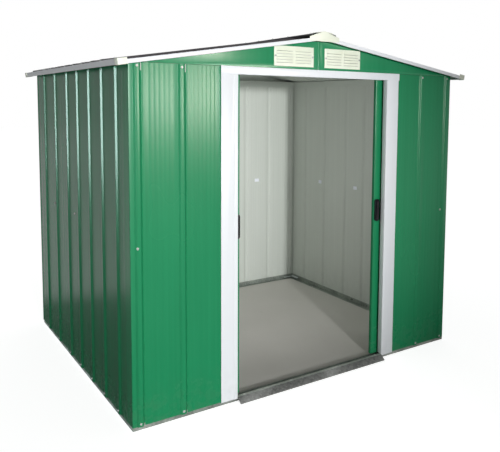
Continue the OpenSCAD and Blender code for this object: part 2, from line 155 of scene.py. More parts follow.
def choose(piece, parts, test):
    """Selects, in edit mode, only the verts, edges or faces of the piece that pass the test."""
    bpy.ops.mesh.select_all(action="DESELECT")
    mesh = bmesh.from_edit_mesh(piece.data)
    for part in getattr(mesh, parts):
        if test(part):
            part.select_set(True)
    if parts == "verts":
        mesh.select_flush(True)
    bmesh.update_edit_mesh(piece.data)


def merged_copy(node, name):
    """A copy of a CAD node in edit mode, selected all over, with its loose triangles merged."""
    bpy.ops.object.select_all(action="DESELECT")
    piece = bpy.data.objects.new(name, nodes[node].data.copy())
    piece.data.name = name
    bpy.context.scene.collection.objects.link(piece)
    piece.select_set(True)
    bpy.context.view_layer.objects.active = piece
    bpy.ops.mesh.customdata_custom_splitnormals_clear()
    bpy.ops.object.mode_set(mode="EDIT")
    bpy.ops.mesh.select_all(action="SELECT")
    bpy.ops.mesh.remove_doubles(threshold=0.00001)
    return piece


def join_shell(piece, slot, *replaced, body="shell"):
    """Hangs a piece on the empty of the body it rides on and hides the CAD nodes it stands for. slot is not used."""
    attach(piece, body)
    if replaced:
        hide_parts(*replaced)
    return piece


rail_t, rail_h = 0.0015, 0.031
dress(nodes["base_rail_front"], zinc)
for rail in ("base_rail_back", "base_rail_left", "base_rail_right"):
    strip = merged_copy(rail, f"zinc_{rail}")
    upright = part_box(rail)[1].z
    choose(strip, "verts", lambda vertex: vertex.co.z > upright - 0.001)
    bpy.ops.transform.translate(value=(0, 0, rail_h - upright))
    bpy.ops.object.mode_set(mode="OBJECT")
    bpy.ops.object.shade_smooth_by_angle(angle=math.radians(30))
    dress(strip, zinc)
    join_shell(strip, "zinc", rail)


# ---------------------------------------------------------------------------
# Floor sheet.
# A grey painted board lies inside the base rails. Its coat is flat and even, with a fine
# tooth and a few darker scuffs.
# ---------------------------------------------------------------------------
board, shader, place = new_finish("floor_board", Specular_IOR_Level=0.3)
tooth = place.grain((1, 1, 1), 420.0, 3.0)
cloud = place.grain((1, 1, 1), 2.3, 4.0).between(0.3, 0.7)
scuff = place.grain((6, 1, 1), 7.0, 5.0).between(0.66, 0.74)
coat = (0.6 * cloud + 0.4 * tooth).tint((0.585, 0.563, 0.530, 1), (0.655, 0.633, 0.60, 1))
connect(shader, base=(0.35 * scuff).tint(coat, (0.52, 0.51, 0.47, 1)), roughness=0.62 + 0.14 * cloud,
        height=tooth, distance=0.0005, strength=0.4)
dress(nodes["floor_sheet"], board)


# ---------------------------------------------------------------------------
# Door ramp.
# A bent strip of bare galvanised steel in front of the door track carries the feet over the
# rail. It is walked on, and its zinc is mottled and stained. Its slope is a dark copy of the
# zinc, painted shade, and its flat top a pale copy, a painted highlight.
# ---------------------------------------------------------------------------
sheet_t = 0.001


def apply_modifier(piece, kind, **settings):
    """Adds one modifier to the piece and applies it."""
    modifier = piece.modifiers.new(kind.lower(), kind)
    for name, value in settings.items():
        setattr(modifier, name, value)
    bpy.ops.object.modifier_apply(modifier=modifier.name)


def round_edges(piece, width, over, segments=2):
    """Rounds every edge that is sharper than over, in degrees."""
    apply_modifier(piece, "BEVEL", width=width, segments=segments, limit_method="ANGLE", angle_limit=math.radians(over))


def upright_plane(name):
    """Adds a plane, 1 m square, that faces the front, and opens it in edit mode."""
    bpy.ops.object.select_all(action="DESELECT")
    bpy.ops.mesh.primitive_plane_add(size=1, rotation=(math.pi / 2, 0, 0))
    bpy.ops.object.transform_apply()
    plane = bpy.context.object
    plane.name = plane.data.name = name
    bpy.ops.object.mode_set(mode="EDIT")
    return plane


def fold_sheet(name, path, z0, z1, facing, thick=sheet_t, bend=0.0015, finishes=None, lay=None):
    """Draws an upright edge along a path of (x, y) points, one fold at a time, rounds the folds,
    thickens the sheet inwards and lays it in place. facing is a direction on its outer side."""
    sheet = upright_plane(name)
    choose(sheet, "verts", lambda vertex: vertex.co.x > 0)
    bpy.ops.mesh.delete(type="VERT")
    bpy.ops.mesh.select_all(action="SELECT")
    bpy.ops.transform.resize(value=(1, 1, z1 - z0), center_override=(0, 0, 0))
    bpy.ops.transform.translate(value=(path[0][0] + 0.5, path[0][1], (z0 + z1) / 2))
    for (xa, ya), (xb, yb) in zip(path, path[1:]):
        bpy.ops.mesh.extrude_region_move(TRANSFORM_OT_translate={"value": (xb - xa, yb - ya, 0)})
    bpy.ops.mesh.select_all(action="SELECT")
    mesh = bmesh.from_edit_mesh(sheet.data)
    if sum(face.normal.dot(Vector(facing)) * face.calc_area() for face in mesh.faces) < 0:
        bpy.ops.mesh.flip_normals()
    bpy.ops.object.mode_set(mode="OBJECT")
    dress(sheet, *(finishes or (green, backing)))
    if bend:
        round_edges(sheet, bend, 30)
    apply_modifier(sheet, "SOLIDIFY", thickness=thick, offset=-1, use_even_offset=True,
                   material_offset=1 if len(sheet.data.materials) > 1 else 0)
    bpy.ops.object.shade_smooth_by_angle(angle=math.radians(35))
    if lay:
        sheet.matrix_world = lay
        bpy.ops.object.transform_apply()
    return sheet


# The slope's zinc is a dark copy, painted shade, and the flat top's is a pale copy, a painted highlight.
slope_painted_shade = zinc_finish("zinc_ramp", (0.085, 0.09, 0.085), (0.27, 0.28, 0.27), 0.6)
top_painted_highlight = zinc_finish("zinc_ramp_top_painted_highlight", (0.30, 0.33, 0.30), (0.50, 0.54, 0.50), 0.5)
ramp_run, ramp_lip, ramp_hem = 0.032, 0.006, 0.0022
low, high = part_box("door_ramp")
knee = low.y + ramp_run
path = [(low.y + 0.004, -ramp_hem), (low.y, -0.0004), (low.y + 0.0012, -ramp_hem), (knee, 0.0012 - high.z),
        (knee + 0.0025, -high.z), (high.y, -high.z), (high.y, ramp_lip - high.z)]
across_door = Matrix(((0, 0, -1, 0), (1, 0, 0, 0), (0, -1, 0, 0), (0, 0, 0, 1)))
ramp = fold_sheet("sill_ramp", path, low.x, high.x, (0, -1, 0), finishes=(slope_painted_shade,), lay=across_door)
dress(ramp, slope_painted_shade, top_painted_highlight)
# The flat top, behind the knee, takes the pale copy, a painted highlight; the slope takes the dark one, painted shade.
for face in ramp.data.polygons:
    face.material_index = 1 if face.center.y > knee else 0
join_shell(ramp, "zinc", "door_ramp")


# ---------------------------------------------------------------------------
# Rail tabs and ties.
# The side base rails run on to the corners in upright tabs of the same zinc. Plated angles tie
# the rails together over the floor in the two rear corners; their near-white zinc is a painted
# highlight.
# ---------------------------------------------------------------------------
def join_pieces(name, pieces):
    """Joins the pieces, the last of which was made last, in one object of that name."""
    for piece in pieces:
        piece.select_set(True)
    bpy.ops.object.join()
    joined = bpy.context.object
    joined.name = joined.data.name = name
    return joined


front_tab_h = 0.018
rail_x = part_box("base_rail_back")[1].x
rail_front, rail_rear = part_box("base_rail_front")[0].y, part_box("base_rail_back")[1].y
low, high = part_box("base_rail_left")
tabs = []
for sx in (-1, 1):
    for end, y, corner_y, tall in (("front", low.y, rail_front + rail_t, front_tab_h),
                                   ("rear", high.y, rail_rear - rail_t, rail_h)):
        path = [(sx * rail_x, y), (sx * rail_x, corner_y)]
        tabs.append(fold_sheet(f"tab_{end}_{sx}", path, rail_t, tall, (sx, 0, 0), thick=rail_t, bend=0,
                               finishes=(zinc,)))
join_shell(join_pieces("base_rail_corner_tabs", tabs), "zinc")

# The ties' zinc is near white and hardly metallic, a painted highlight that keeps them bright in the corner's shade.
tie_painted_highlight = zinc_finish("tie_zinc_painted_highlight", (0.80, 0.86, 0.88), (0.96, 0.98, 1.0), 0.5, metallic=0.1)
lying = Matrix(((1, 0, 0, 0), (0, 0, 1, 0), (0, -1, 0, 0), (0, 0, 0, 1)))
tie_leg, tie_w, tie_z, tie_turn, tie_gap = 0.085, 0.016, 0.0120, 0.0045, 0.0006
corner_y = rail_rear - rail_t - tie_gap
ties = []
for sx in (-1, 1):
    corner_x = sx * (rail_x - rail_t - tie_gap)
    for reach, y0, y1 in ((tie_leg, corner_y - tie_w, corner_y), (tie_w, corner_y - tie_leg, corner_y - tie_w)):
        path = [(corner_x - sx * reach, -tie_z), (corner_x - sx * 0.0015, -tie_z), (corner_x, -tie_z - tie_turn)]
        ties.append(fold_sheet(f"tie_{sx}_{reach}", path, y0, y1, (0, -1, 0), thick=rail_t, finishes=(tie_painted_highlight,),
                               lay=lying))
join_shell(join_pieces("rail_corner_ties", ties), "zinc")


# ---------------------------------------------------------------------------
# Folded corners.
# Each corner of the shed is one strip of coil-painted steel, green outside and pale grey inside,
# bent at a right angle, with the first rib of the front or back wall pressed in one leg. The rear
# ones have a small fold pressed out along the bend.
# ---------------------------------------------------------------------------
def paint_finish(name, low, high, roughness, specular, dust=0.14):
    """Coil paint: two close shades in clouds and upright streaks, with dust near the ground."""
    material, shader, place = new_finish(name, Specular_IOR_Level=specular)
    cloud = place.grain((1, 1, 0.5), 1.7, 3.0).between(0.3, 0.7)
    streak = place.grain((1, 1, 0.012), 70.0, 3.0).between(0.25, 0.75)
    peel = place.grain((1, 1, 1), 700.0, 1.0)
    height = place.node("ShaderNodeSeparateXYZ", {}, {0: place}, out=2)
    splash = (1.0 - height.between(0.0, 0.22)) * place.grain((1, 1, 1), 26.0, 4.0).between(0.4, 0.75)
    colour = (0.5 * cloud + 0.5 * streak).tint((*low, 1), (*high, 1))
    colour = (dust * splash).tint(colour, (0.16, 0.15, 0.12, 1))
    sway = place.grain((1, 1, 0.35), 2.6, 1.0)
    connect(shader, base=colour, roughness=roughness + 0.08 * cloud + 0.2 * splash,
            height=sway + 0.004 * peel, distance=0.006, strength=0.35)
    return material


green = paint_finish("green_paint", (0.010, 0.212, 0.084), (0.017, 0.262, 0.108), 0.20, 0.22)
backing = paint_finish("backing_coat", (0.56, 0.597, 0.552), (0.62, 0.652, 0.608), 0.5, 0.25, dust=0.1)

rib_h, rib_top, rib_foot = 0.008, 0.018, 0.034
groove_pitch, groove_w, groove_deep = 0.0205, 0.008, 0.0005
crease_half, crease_deep = 0.0024, 0.0034
half_w = -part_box("wall_left_front")[0].x
low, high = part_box("wall_front_left")
half_d, wall_z0, wall_z1 = -low.y, low.z, high.z


def grooved(a, b, level, deep):
    """Points of one flat from a to b at a level, with fine grooves pressed in it."""
    count = int((b - a) / groove_pitch)
    line = [(a, level)]
    for g in range(1, count):
        mid = a + (b - a) * g / count
        line += [(mid - groove_w / 2, level), (mid, level + deep), (mid + groove_w / 2, level)]
    return line + [(b, level)]


def pressed_line(start, end, ribs, crease=()):
    """Points (along, out) of a wall sheet: grooved flats between raised ribs. A rib in crease has
    a sharp fold pressed in along its far foot."""
    feet = [start] + [x for rib in ribs for x in (rib - rib_foot / 2, rib + rib_foot / 2)] + [end]
    line = []
    for i in range(0, len(feet), 2):
        a, b = feet[i], feet[i + 1]
        if i and ribs[i // 2 - 1] in crease:
            line += [(a, 0), (a + crease_half, -crease_deep)]
            a += 2 * crease_half
        line += grooved(a, b, 0, -groove_deep)
        if i < 2 * len(ribs):
            rib = ribs[i // 2]
            line += [(rib - rib_top / 2, rib_h), (rib + rib_top / 2, rib_h)]
    return [p for i, p in enumerate(line) if i == 0 or p != line[i - 1]]


corner_leg, corner_rib = 0.074, 0.044
rear_fold, rear_foot = 0.0034, 0.003
for name, sx, sy in (("corner_front_left", -1, -1), ("corner_front_right", 1, -1),
                     ("corner_back_left", -1, 1), ("corner_back_right", 1, 1)):
    long_leg = pressed_line(rib_h, corner_leg, [corner_rib], [corner_rib] if sx < 0 else [])
    side_leg = pressed_line(rib_h, corner_leg, [])
    path = [(sx * (half_w - rib_h + out), sy * (half_d - along)) for along, out in reversed(side_leg)]
    if sy > 0:
        x, y = path.pop()
        path += [(x, y - rear_foot), (x + sx * rear_fold, y + rear_fold), (x - sx * rear_foot, y)]
    path += [(sx * (half_w - along), sy * (half_d - rib_h + out)) for along, out in long_leg[1:]]
    corner = fold_sheet("folded_" + name, path, wall_z0, wall_z1, (sx, sy, 0))
    join_shell(corner, "green_sheet", name)


# ---------------------------------------------------------------------------
# Wall panels.
# Ribbed sheets stand between the corners: one on each side of the doorway, two across the back
# and two down each side. They are screwed to the rails through their ribs.
# ---------------------------------------------------------------------------
front_pitch = 0.206
front_ribs = [corner_rib + front_pitch * k for k in (1, 2)]
back_ribs = [corner_rib + front_pitch * k for k in (1, 2, 3, 4)]
side_ribs_front = [0.170 + 0.201 * k for k in range(5)]
side_ribs_rear = [side_ribs_front[-1] + 0.251 * k for k in (1, 2)]
side_split = side_ribs_front[-1] + 0.251 / 2
front_end = half_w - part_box("wall_front_right")[0].x
for side, sx in (("left", -1), ("right", 1)):
    creased = front_ribs[:1] if sx < 0 else []
    for wall, sy, line in (("front", -1, pressed_line(corner_leg, front_end, front_ribs, creased)),
                           ("back", 1, pressed_line(corner_leg, half_w, back_ribs))):
        path = [(sx * (half_w - along), sy * (half_d - rib_h + out)) for along, out in line]
        panel = fold_sheet(f"{wall}_panel_{side}", path, wall_z0, wall_z1, (0, sy, 0))
        join_shell(panel, "green_sheet", f"wall_{wall}_{side}")
    for end, line in (("front", pressed_line(corner_leg, side_split, side_ribs_front)),
                      ("rear", pressed_line(side_split, 2 * half_d - corner_leg, side_ribs_rear))):
        path = [(sx * (half_w - rib_h + out), along - half_d) for along, out in line]
        panel = fold_sheet(f"{side}_panel_{end}", path, wall_z0, wall_z1, (sx, 0, 0))
        join_shell(panel, "green_sheet", f"wall_{side}_{end}")


# ---------------------------------------------------------------------------
# Door frame.
# White painted jambs, each folded with a raised bead along the opening, and a flat white
# lintel over them. They are folded from thin sheet, so their edges are rounded.
# ---------------------------------------------------------------------------
white = paint_finish("white_paint", (0.80, 0.83, 0.86), (0.84, 0.865, 0.89), 0.32, 0.4, dust=0.12)


def folded_copy(node, name, bend, finishes, slot, inner=None):
    """A copy of a CAD node with its edges rounded by bend. Faces that look along inner take the
    second finish."""
    piece = merged_copy(node, name)
    bpy.ops.mesh.dissolve_limited(angle_limit=math.radians(0.5))
    bpy.ops.object.mode_set(mode="OBJECT")
    dress(piece, *finishes)
    for face in piece.data.polygons:
        face.material_index = 1 if inner and face.normal.dot(Vector(inner)) > 0.5 else 0
    round_edges(piece, bend, 30)
    bpy.ops.object.shade_smooth_by_angle(angle=math.radians(30))
    join_shell(piece, slot, node)


for side in ("left", "right"):
    folded_copy(f"jamb_{side}", f"door_jamb_{side}", 0.0004, [white], "white_trim")
folded_copy("lintel", "door_lintel", 0.0004, [white], "white_trim")


# ---------------------------------------------------------------------------
# Rails and beam over the walls.
# Folded rails cap the walls all round, and a galvanised beam runs under the ridge. The rails
# have the pale backing coat inside, and the edge that shows under the gables is green, a darker
# green than the walls: painted shade under the gables.
# ---------------------------------------------------------------------------
rail_coat, shader, place = new_finish("rail_coat", Specular_IOR_Level=0.25)
edge_in, blend = 0.0085, 0.0005
reach = place.node("ShaderNodeVectorMath", {"operation": "ABSOLUTE"}, {0: place})
out_x = reach.node("ShaderNodeSeparateXYZ", {}, {0: reach}, out=0).between(half_w - edge_in, half_w - edge_in + blend)
out_y = reach.node("ShaderNodeSeparateXYZ", {}, {0: reach}, out=1).between(half_d - edge_in, half_d - edge_in + blend)
cloud = place.grain((1, 1, 1), 1.7, 3.0).between(0.3, 0.7)
streak = place.grain((0.05, 0.05, 1), 60.0, 3.0)
inside = (0.5 * cloud + 0.5 * streak).tint((0.54, 0.58, 0.535, 1), (0.60, 0.635, 0.59, 1))
# The edge is green, and its extra darkness over the wall paint is painted shade under the gables.
outside = cloud.tint((0.008, 0.13, 0.05, 1), (0.014, 0.17, 0.07, 1))
below = 1.0 - place.node("ShaderNodeSeparateXYZ", {}, {0: place}, out=2).between(wall_z1 + 0.0018, wall_z1 + 0.0020)
colour = ((out_x + out_y) * below).between(0.0, 1.0).tint(inside, outside)
connect(shader, base=colour, roughness=0.42 + 0.12 * cloud, height=streak, distance=0.0004, strength=0.3)
for rail in ("top_rail_front", "top_rail_back", "top_rails_side"):
    dress(nodes[rail], rail_coat)
dress(nodes["ridge_beam"], zinc)


# ---------------------------------------------------------------------------
# Gables.
# Flat green sheets close the ends under the roof. The front one is made in two halves that meet
# in a raised seam under the apex.
# ---------------------------------------------------------------------------
for side in ("left", "right"):
    folded_copy(f"gable_front_{side}", f"front_gable_{side}", 0.0003, [green, backing], "green_sheet", inner=(0, 1, 0))
folded_copy("gable_back", "back_gable", 0.0003, [green, backing], "green_sheet", inner=(0, -1, 0))
low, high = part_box("gable_front_left")
half_seam, half_bead, bead_slope, bead_out, seam_gap = 0.009, 0.0025, 0.001, 0.0035, 0.0002
path = [(-half_seam, low.y - seam_gap), (-half_bead - bead_slope, low.y - seam_gap), (-half_bead, low.y - bead_out),
        (half_bead, low.y - bead_out), (half_bead + bead_slope, low.y - seam_gap), (half_seam, low.y - seam_gap)]
seam = fold_sheet("front_gable_seam", path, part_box("lintel")[1].z + 0.001, high.z - 0.006, (0, -1, 0), thick=0.0004,
                  bend=0.0006, finishes=(green,))
join_shell(seam, "green_sheet")


# ---------------------------------------------------------------------------
# Roof sheets.
# Four dark sheets with raised ribs run from the ridge to the eaves, two on each slope. They are
# painted slate grey on top and have the pale backing coat below.
# ---------------------------------------------------------------------------
slate = paint_finish("slate_paint", (0.060, 0.056, 0.060), (0.088, 0.082, 0.086), 0.62, 0.08, dust=0.0)
pitch = math.radians(9)
roof_rib_h, roof_rib_top, roof_rib_foot, edge_rib_h = 0.0205, 0.022, 0.036, 0.0045
eave_over, sheet_gap, roof_ribs = 0.050, 0.004, 6
ridge_z = wall_z1 + 0.0015 + half_w * math.tan(pitch)
slope_len = (half_w + eave_over) / math.cos(pitch)
roof_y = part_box("roof_left_rear")[1].y
rib_step = roof_y / roof_ribs


def down_slope(sx):
    """Lays what is drawn upright on one slope: its height runs down from the ridge, and its -Y
    side faces the sky."""
    cos, sin = math.cos(pitch), math.sin(pitch)
    return Matrix(((0, -sx * sin, sx * cos, 0), (-sx, 0, 0, 0), (0, -cos, -sin, ridge_z), (0, 0, 0, 1)))


def roof_line(ribs):
    """Points (along, out) across a roof sheet, with one shallow stiffening line in each flat. The
    last rib lies under the trim and is lower."""
    line = [(0, 0)]
    for rib in ribs:
        if rib - roof_rib_foot / 2 > line[-1][0] + 0.03:
            mid = (line[-1][0] + rib - roof_rib_foot / 2) / 2
            line += [(mid - 0.008, 0), (mid, 0.0016), (mid + 0.008, 0)]
        rise = edge_rib_h if rib == ribs[-1] else roof_rib_h
        line += [(rib - roof_rib_foot / 2, 0), (rib - roof_rib_top / 2, rise), (rib + roof_rib_top / 2, rise),
                 (rib + roof_rib_foot / 2, 0)]
    if roof_y > line[-1][0] + 0.0001:
        line.append((roof_y, 0))
    return line


for side, sx in (("left", -1), ("right", 1)):
    for end, sy in (("front", -1), ("rear", 1)):
        ribs = [(k + 0.5) * rib_step for k in range(roof_ribs)]
        ribs[-1] = roof_y - roof_rib_foot / 2 - sheet_t
        path = [(-sx * sy * along, -sheet_t - out) for along, out in roof_line(ribs)]
        sheet = fold_sheet(f"roof_sheet_{side}_{end}", path, sheet_gap, slope_len, (0, -1, 0), bend=0.003,
                           finishes=(slate, backing), lay=down_slope(sx))
        join_shell(sheet, "slate_sheet", f"roof_{side}_{end}")


# ---------------------------------------------------------------------------
# Ridge cap.
# A slate grey strip is folded along its middle and down both edges, and is screwed over the
# ribs of the roof sheets all along the ridge. A dark filler strip under it closes the gap.
# ---------------------------------------------------------------------------
cap_half, cap_rise, cap_skirt, cap_crown = 0.072, 0.0285, 0.0065, 0.010
top = ridge_z + cap_rise / math.cos(pitch)
path = [(x, abs(x) * math.tan(pitch) - top) for x in (-cap_half, -cap_crown, 0, cap_crown, cap_half)]
path = [(-cap_half, path[0][1] + cap_skirt), *path, (cap_half, path[-1][1] + cap_skirt)]
cap = fold_sheet("roof_ridge_cap", path, -roof_y, roof_y, (0, -1, 0), finishes=(slate, backing), lay=lying)
join_shell(cap, "slate_sheet", "ridge_cap")
fill_t, fill_short = 0.006, 0.002
path = [(-fill_t / 2, fill_short - roof_y), (-fill_t / 2, roof_y - fill_short)]
closure = fold_sheet("ridge_closure", path, ridge_z - 0.006, top - 0.003, (1, 0, 0), thick=fill_t, bend=0,
                     finishes=(slate,))
join_shell(closure, "slate_sheet")


# ---------------------------------------------------------------------------
# Rake and eave trims.
# White folded strips close the ends and the eaves of the roof. The dark ribs of the sheets
# stand a little above them, and each strip has a hem along its top and bottom.
# ---------------------------------------------------------------------------
trim_half, rake_top, eave_top, hem, turn_in = 0.0105, 0.0075, 0.0150, 0.003, 0.0014
rake_under, eave_under, rake_lap = 0.010, 0.012, 0.0055
rake_y = -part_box("rake_trims_front")[0].y
trim_end = slope_len + 0.0015
for end, sy in (("front", -1), ("back", 1)):
    strips = []
    for sx in (-1, 1):
        path = [(-sx * sy * (rake_y - deep), -up) for deep, up in (
            (rake_under, hem - trim_half), (rake_under, -trim_half), (0, -trim_half), (0, rake_top - hem),
            (0.0006, rake_top), (rake_lap, rake_top))]
        strips.append(fold_sheet(f"rake_strip_{end}_{sx}", path, 0.001, trim_end, (-sx * sy, 0, 0), bend=0.0006,
                                 finishes=(white,), lay=down_slope(sx)))
    join_shell(join_pieces(f"roof_rake_trims_{end}", strips), "white_trim", f"rake_trims_{end}")

strips = []
cos, sin = math.cos(pitch), math.sin(pitch)
for sx in (-1, 1):
    along_eave = Matrix(((sx * cos, -sx * sin, 0, 0), (0, 0, sx, 0), (-sin, -cos, 0, ridge_z), (0, 0, 0, 1)))
    path = [(trim_end - deep, -up) for deep, up in (
        (eave_under, hem - trim_half), (eave_under, -trim_half), (0, -trim_half), (0, eave_top), (turn_in, eave_top),
        (turn_in, eave_top - hem))]
    strips.append(fold_sheet(f"eave_strip_{sx}", path, -roof_y, roof_y, (1, 0, 0), thick=0.0006, bend=0.0005,
                             finishes=(white,), lay=along_eave))
join_shell(join_pieces("roof_eave_trims", strips), "white_trim", "eave_trims")


# ---------------------------------------------------------------------------
# Apex and corner caps.
# Cream mouldings cover the joints of the white strips, at the apex of each gable and round the
# four corners of the roof. Their edges are rounded and their skin is slightly grained.
# ---------------------------------------------------------------------------
cream, shader, place = new_finish("cream_moulding", Specular_IOR_Level=0.45)
cloud = place.grain((1, 1, 1), 14.0, 3.0).between(0.3, 0.7)
grit = place.grain((1, 1, 1), 900.0, 2.0)
connect(shader, base=cloud.tint((0.81, 0.85, 0.70, 1), (0.88, 0.92, 0.78, 1)), roughness=0.36 + 0.12 * cloud,
        height=grit, distance=0.0002, strength=0.3)

folded_copy("apex_caps", "roof_apex_caps", 0.001, [cream], "cream_moulding")

cap_len, cap_wall, cap_up = 0.040, 0.0022, 0.0122
caps = []
for sx in (-1, 1):
    standing = Matrix(((sx * cos, 0, sx * sin, 0), (0, sx, 0, 0), (-sin, 0, cos, ridge_z), (0, 0, 0, 1)))
    for sy in (-1, 1):
        far, side_y = trim_end + cap_wall, sx * sy * (rake_y + cap_wall)
        path = [(trim_end - cap_len, side_y), (far, side_y), (far, side_y - sx * sy * cap_len)]
        corner = fold_sheet(f"cap_{sx}_{sy}", path, -cap_up, eave_top + 0.0008, (1, sx * sy, 0),
                            thick=cap_wall - 0.0002, bend=0.0025, finishes=(cream,), lay=standing)
        round_edges(corner, 0.0006, 50)
        caps.append(corner)
join_shell(join_pieces("roof_corner_caps", caps), "cream_moulding", "corner_caps")


# ---------------------------------------------------------------------------
# Gable vents.
# Moulded cream vents cover two openings in the front gable. Each is a plate with a turned rim
# and two columns of five hooded slots, held by a screw at each side.
# ---------------------------------------------------------------------------
def second_copy(piece, name, shift):
    """A copy of a finished piece, with its own mesh, moved by shift."""
    bpy.ops.object.select_all(action="DESELECT")
    copy = bpy.data.objects.new(name, piece.data.copy())
    copy.data.name = name
    bpy.context.scene.collection.objects.link(copy)
    copy.select_set(True)
    bpy.context.view_layer.objects.active = copy
    copy.location = shift
    bpy.ops.object.transform_apply()
    return copy


vent_border, vent_wall, hood_out, slot_tall, slot_cut, slot_rows = 0.014, 0.0012, 0.0038, 0.0017, 0.002, 5
low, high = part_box("vent_left")
slot_w = (high.x - low.x - 3 * vent_border) / 2
step = (high.z - low.z - 2 * vent_border) / slot_rows
front = low.y + hood_out
vent = upright_plane("gable_vent_left")
bpy.ops.transform.resize(value=(high.x - low.x, 1, high.z - low.z), center_override=(0, 0, 0))
bpy.ops.transform.translate(value=((low.x + high.x) / 2, front, (low.z + high.z) / 2))
lips, returns = [], []
for column in (0, 1):
    x0 = low.x + vent_border + column * (slot_w + vent_border)
    for x in (x0, x0 + slot_cut, x0 + slot_w - slot_cut, x0 + slot_w):
        bpy.ops.mesh.select_all(action="SELECT")
        bpy.ops.mesh.bisect(plane_co=(x, 0, 0), plane_no=(1, 0, 0))
    lips.append((x0 + 0.001, x0 + slot_w - 0.001))
for row in range(slot_rows):
    z0 = low.z + vent_border + row * step
    for z in (z0 + slot_cut, z0 + slot_cut + slot_tall, z0 + step - 0.001):
        bpy.ops.mesh.select_all(action="SELECT")
        bpy.ops.mesh.bisect(plane_co=(0, 0, z), plane_no=(0, 0, 1))
    returns.append(z0 + slot_cut + slot_tall)


def in_slot(place, below, above):
    """Says whether a place is across a slot, and no more than so far below or above its lip."""
    return any(a < place.x < b for a, b in lips) and any(-above < z - place.z < below for z in returns)


def on_rim(edge):
    """Says whether an edge lies on the outline of the plate."""
    mid = (edge.verts[0].co + edge.verts[1].co) / 2
    return edge.is_boundary and min(mid.x - low.x, high.x - mid.x, mid.z - low.z, high.z - mid.z) < 0.00001


choose(vent, "verts", lambda vertex: in_slot(vertex.co, 0.0004, 0.0004))
bpy.ops.transform.translate(value=(0, -hood_out, 0))
choose(vent, "faces", lambda face: in_slot(face.calc_center_median(), slot_tall, 0))
bpy.ops.mesh.delete(type="FACE")
choose(vent, "edges", on_rim)
bpy.ops.mesh.extrude_region_move(TRANSFORM_OT_translate={"value": (0, high.y - front, 0)})
bpy.ops.mesh.select_all(action="SELECT")
if sum(face.normal.y * face.calc_area() for face in bmesh.from_edit_mesh(vent.data).faces) > 0:
    bpy.ops.mesh.flip_normals()
bpy.ops.object.mode_set(mode="OBJECT")
dress(vent, cream)
apply_modifier(vent, "SOLIDIFY", thickness=vent_wall, offset=-1)
round_edges(vent, 0.0005, 50)
bpy.ops.object.shade_smooth_by_angle(angle=math.radians(35))
other_vent = second_copy(vent, "gable_vent_right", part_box("vent_right")[0] - low)
join_shell(vent, "cream_moulding", "vent_left")
join_shell(other_vent, "cream_moulding", "vent_right")


# ---------------------------------------------------------------------------
# Sliding doors.
# Each leaf is a green sheet folded to a shallow pan, with pressed panels. Moulded glides carry
# it on the ridges of the rails.
# ---------------------------------------------------------------------------
black, shader, place = new_finish("black_moulding", Specular_IOR_Level=0.15)
grit = place.grain((1, 1, 1), 1100.0, 2.0)
rub = place.grain((1, 1, 1), 30.0, 3.0).between(0.4, 0.7)
connect(shader, base=rub.tint((0.004, 0.004, 0.006, 1), (0.011, 0.011, 0.015, 1)), roughness=0.34 + 0.18 * rub,
        height=grit, distance=0.0002, strength=0.4)

leaf_fold, leaf_lip = 0.0015, 0.014
press_edge, press_deep = 0.007, 0.005
across_leaf = Matrix(((0, 0, 1, 0), (0, 1, 0, 0), (-1, 0, 0, 0), (0, 0, 0, 1)))
for side, sx in (("left", -1), ("right", 1)):
    low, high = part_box(f"door_{side}")
    lead_x = high.x if sx < 0 else low.x
    wide, deep = high.x - low.x, high.y - low.y
    line = [(leaf_lip, deep), (0, deep), (0, leaf_fold), (leaf_fold, 0)]
    for a, b in ((0.046, 0.180), (0.190, 0.324), (0.334, 0.468)):
        line += [(a, 0), *grooved(a + press_edge, b - press_edge, press_deep, groove_deep), (b, 0)]
    line += [(wide - leaf_fold, 0), (wide, leaf_fold), (wide, deep), (wide - leaf_lip, deep)]
    path = [(lead_x + sx * along, low.y + back) for along, back in line]
    leaf = fold_sheet(f"door_leaf_{side}", path, low.z, high.z, (0, -1, 0), bend=0.0012)
    join_shell(leaf, "green_sheet", f"door_{side}", body=f"{side}_door")
    for end, z_out, z_in in (("foot", low.z, low.z + leaf_lip), ("head", high.z, high.z - leaf_lip)):
        path = [(-z_in, high.y - 0.0012), (-z_out, high.y - 0.0012), (-z_out, low.y + 0.0075)]
        channel = fold_sheet(f"door_{end}_channel_{side}", path, low.x + 0.0012, high.x - 0.0012,
                             (-1 if end == "head" else 1, 0, 0), bend=0.0008, lay=across_leaf)
        join_shell(channel, "green_sheet", body=f"{side}_door")
    dress(nodes[f"glides_{side}"], black)


# ---------------------------------------------------------------------------
# Door handles.
# A black moulded grip with round ends is screwed to the leading edge of each leaf. Its rim is
# rolled over and its middle is dished for the fingers.
# ---------------------------------------------------------------------------
def start_block(name, low, high):
    """Adds a block from one corner to the other and opens it in edit mode."""
    bpy.ops.object.select_all(action="DESELECT")
    bpy.ops.mesh.primitive_cube_add(size=1)
    block = bpy.context.object
    block.name = block.data.name = name
    bpy.ops.object.mode_set(mode="EDIT")
    bpy.ops.transform.resize(value=high - low, center_override=(0, 0, 0))
    bpy.ops.transform.translate(value=(low + high) / 2)
    return block


def inset_steps(*steps):
    """Insets the chosen faces again and again, each time by (width, height)."""
    for width, height in steps:
        bpy.ops.mesh.inset(thickness=width, depth=height)


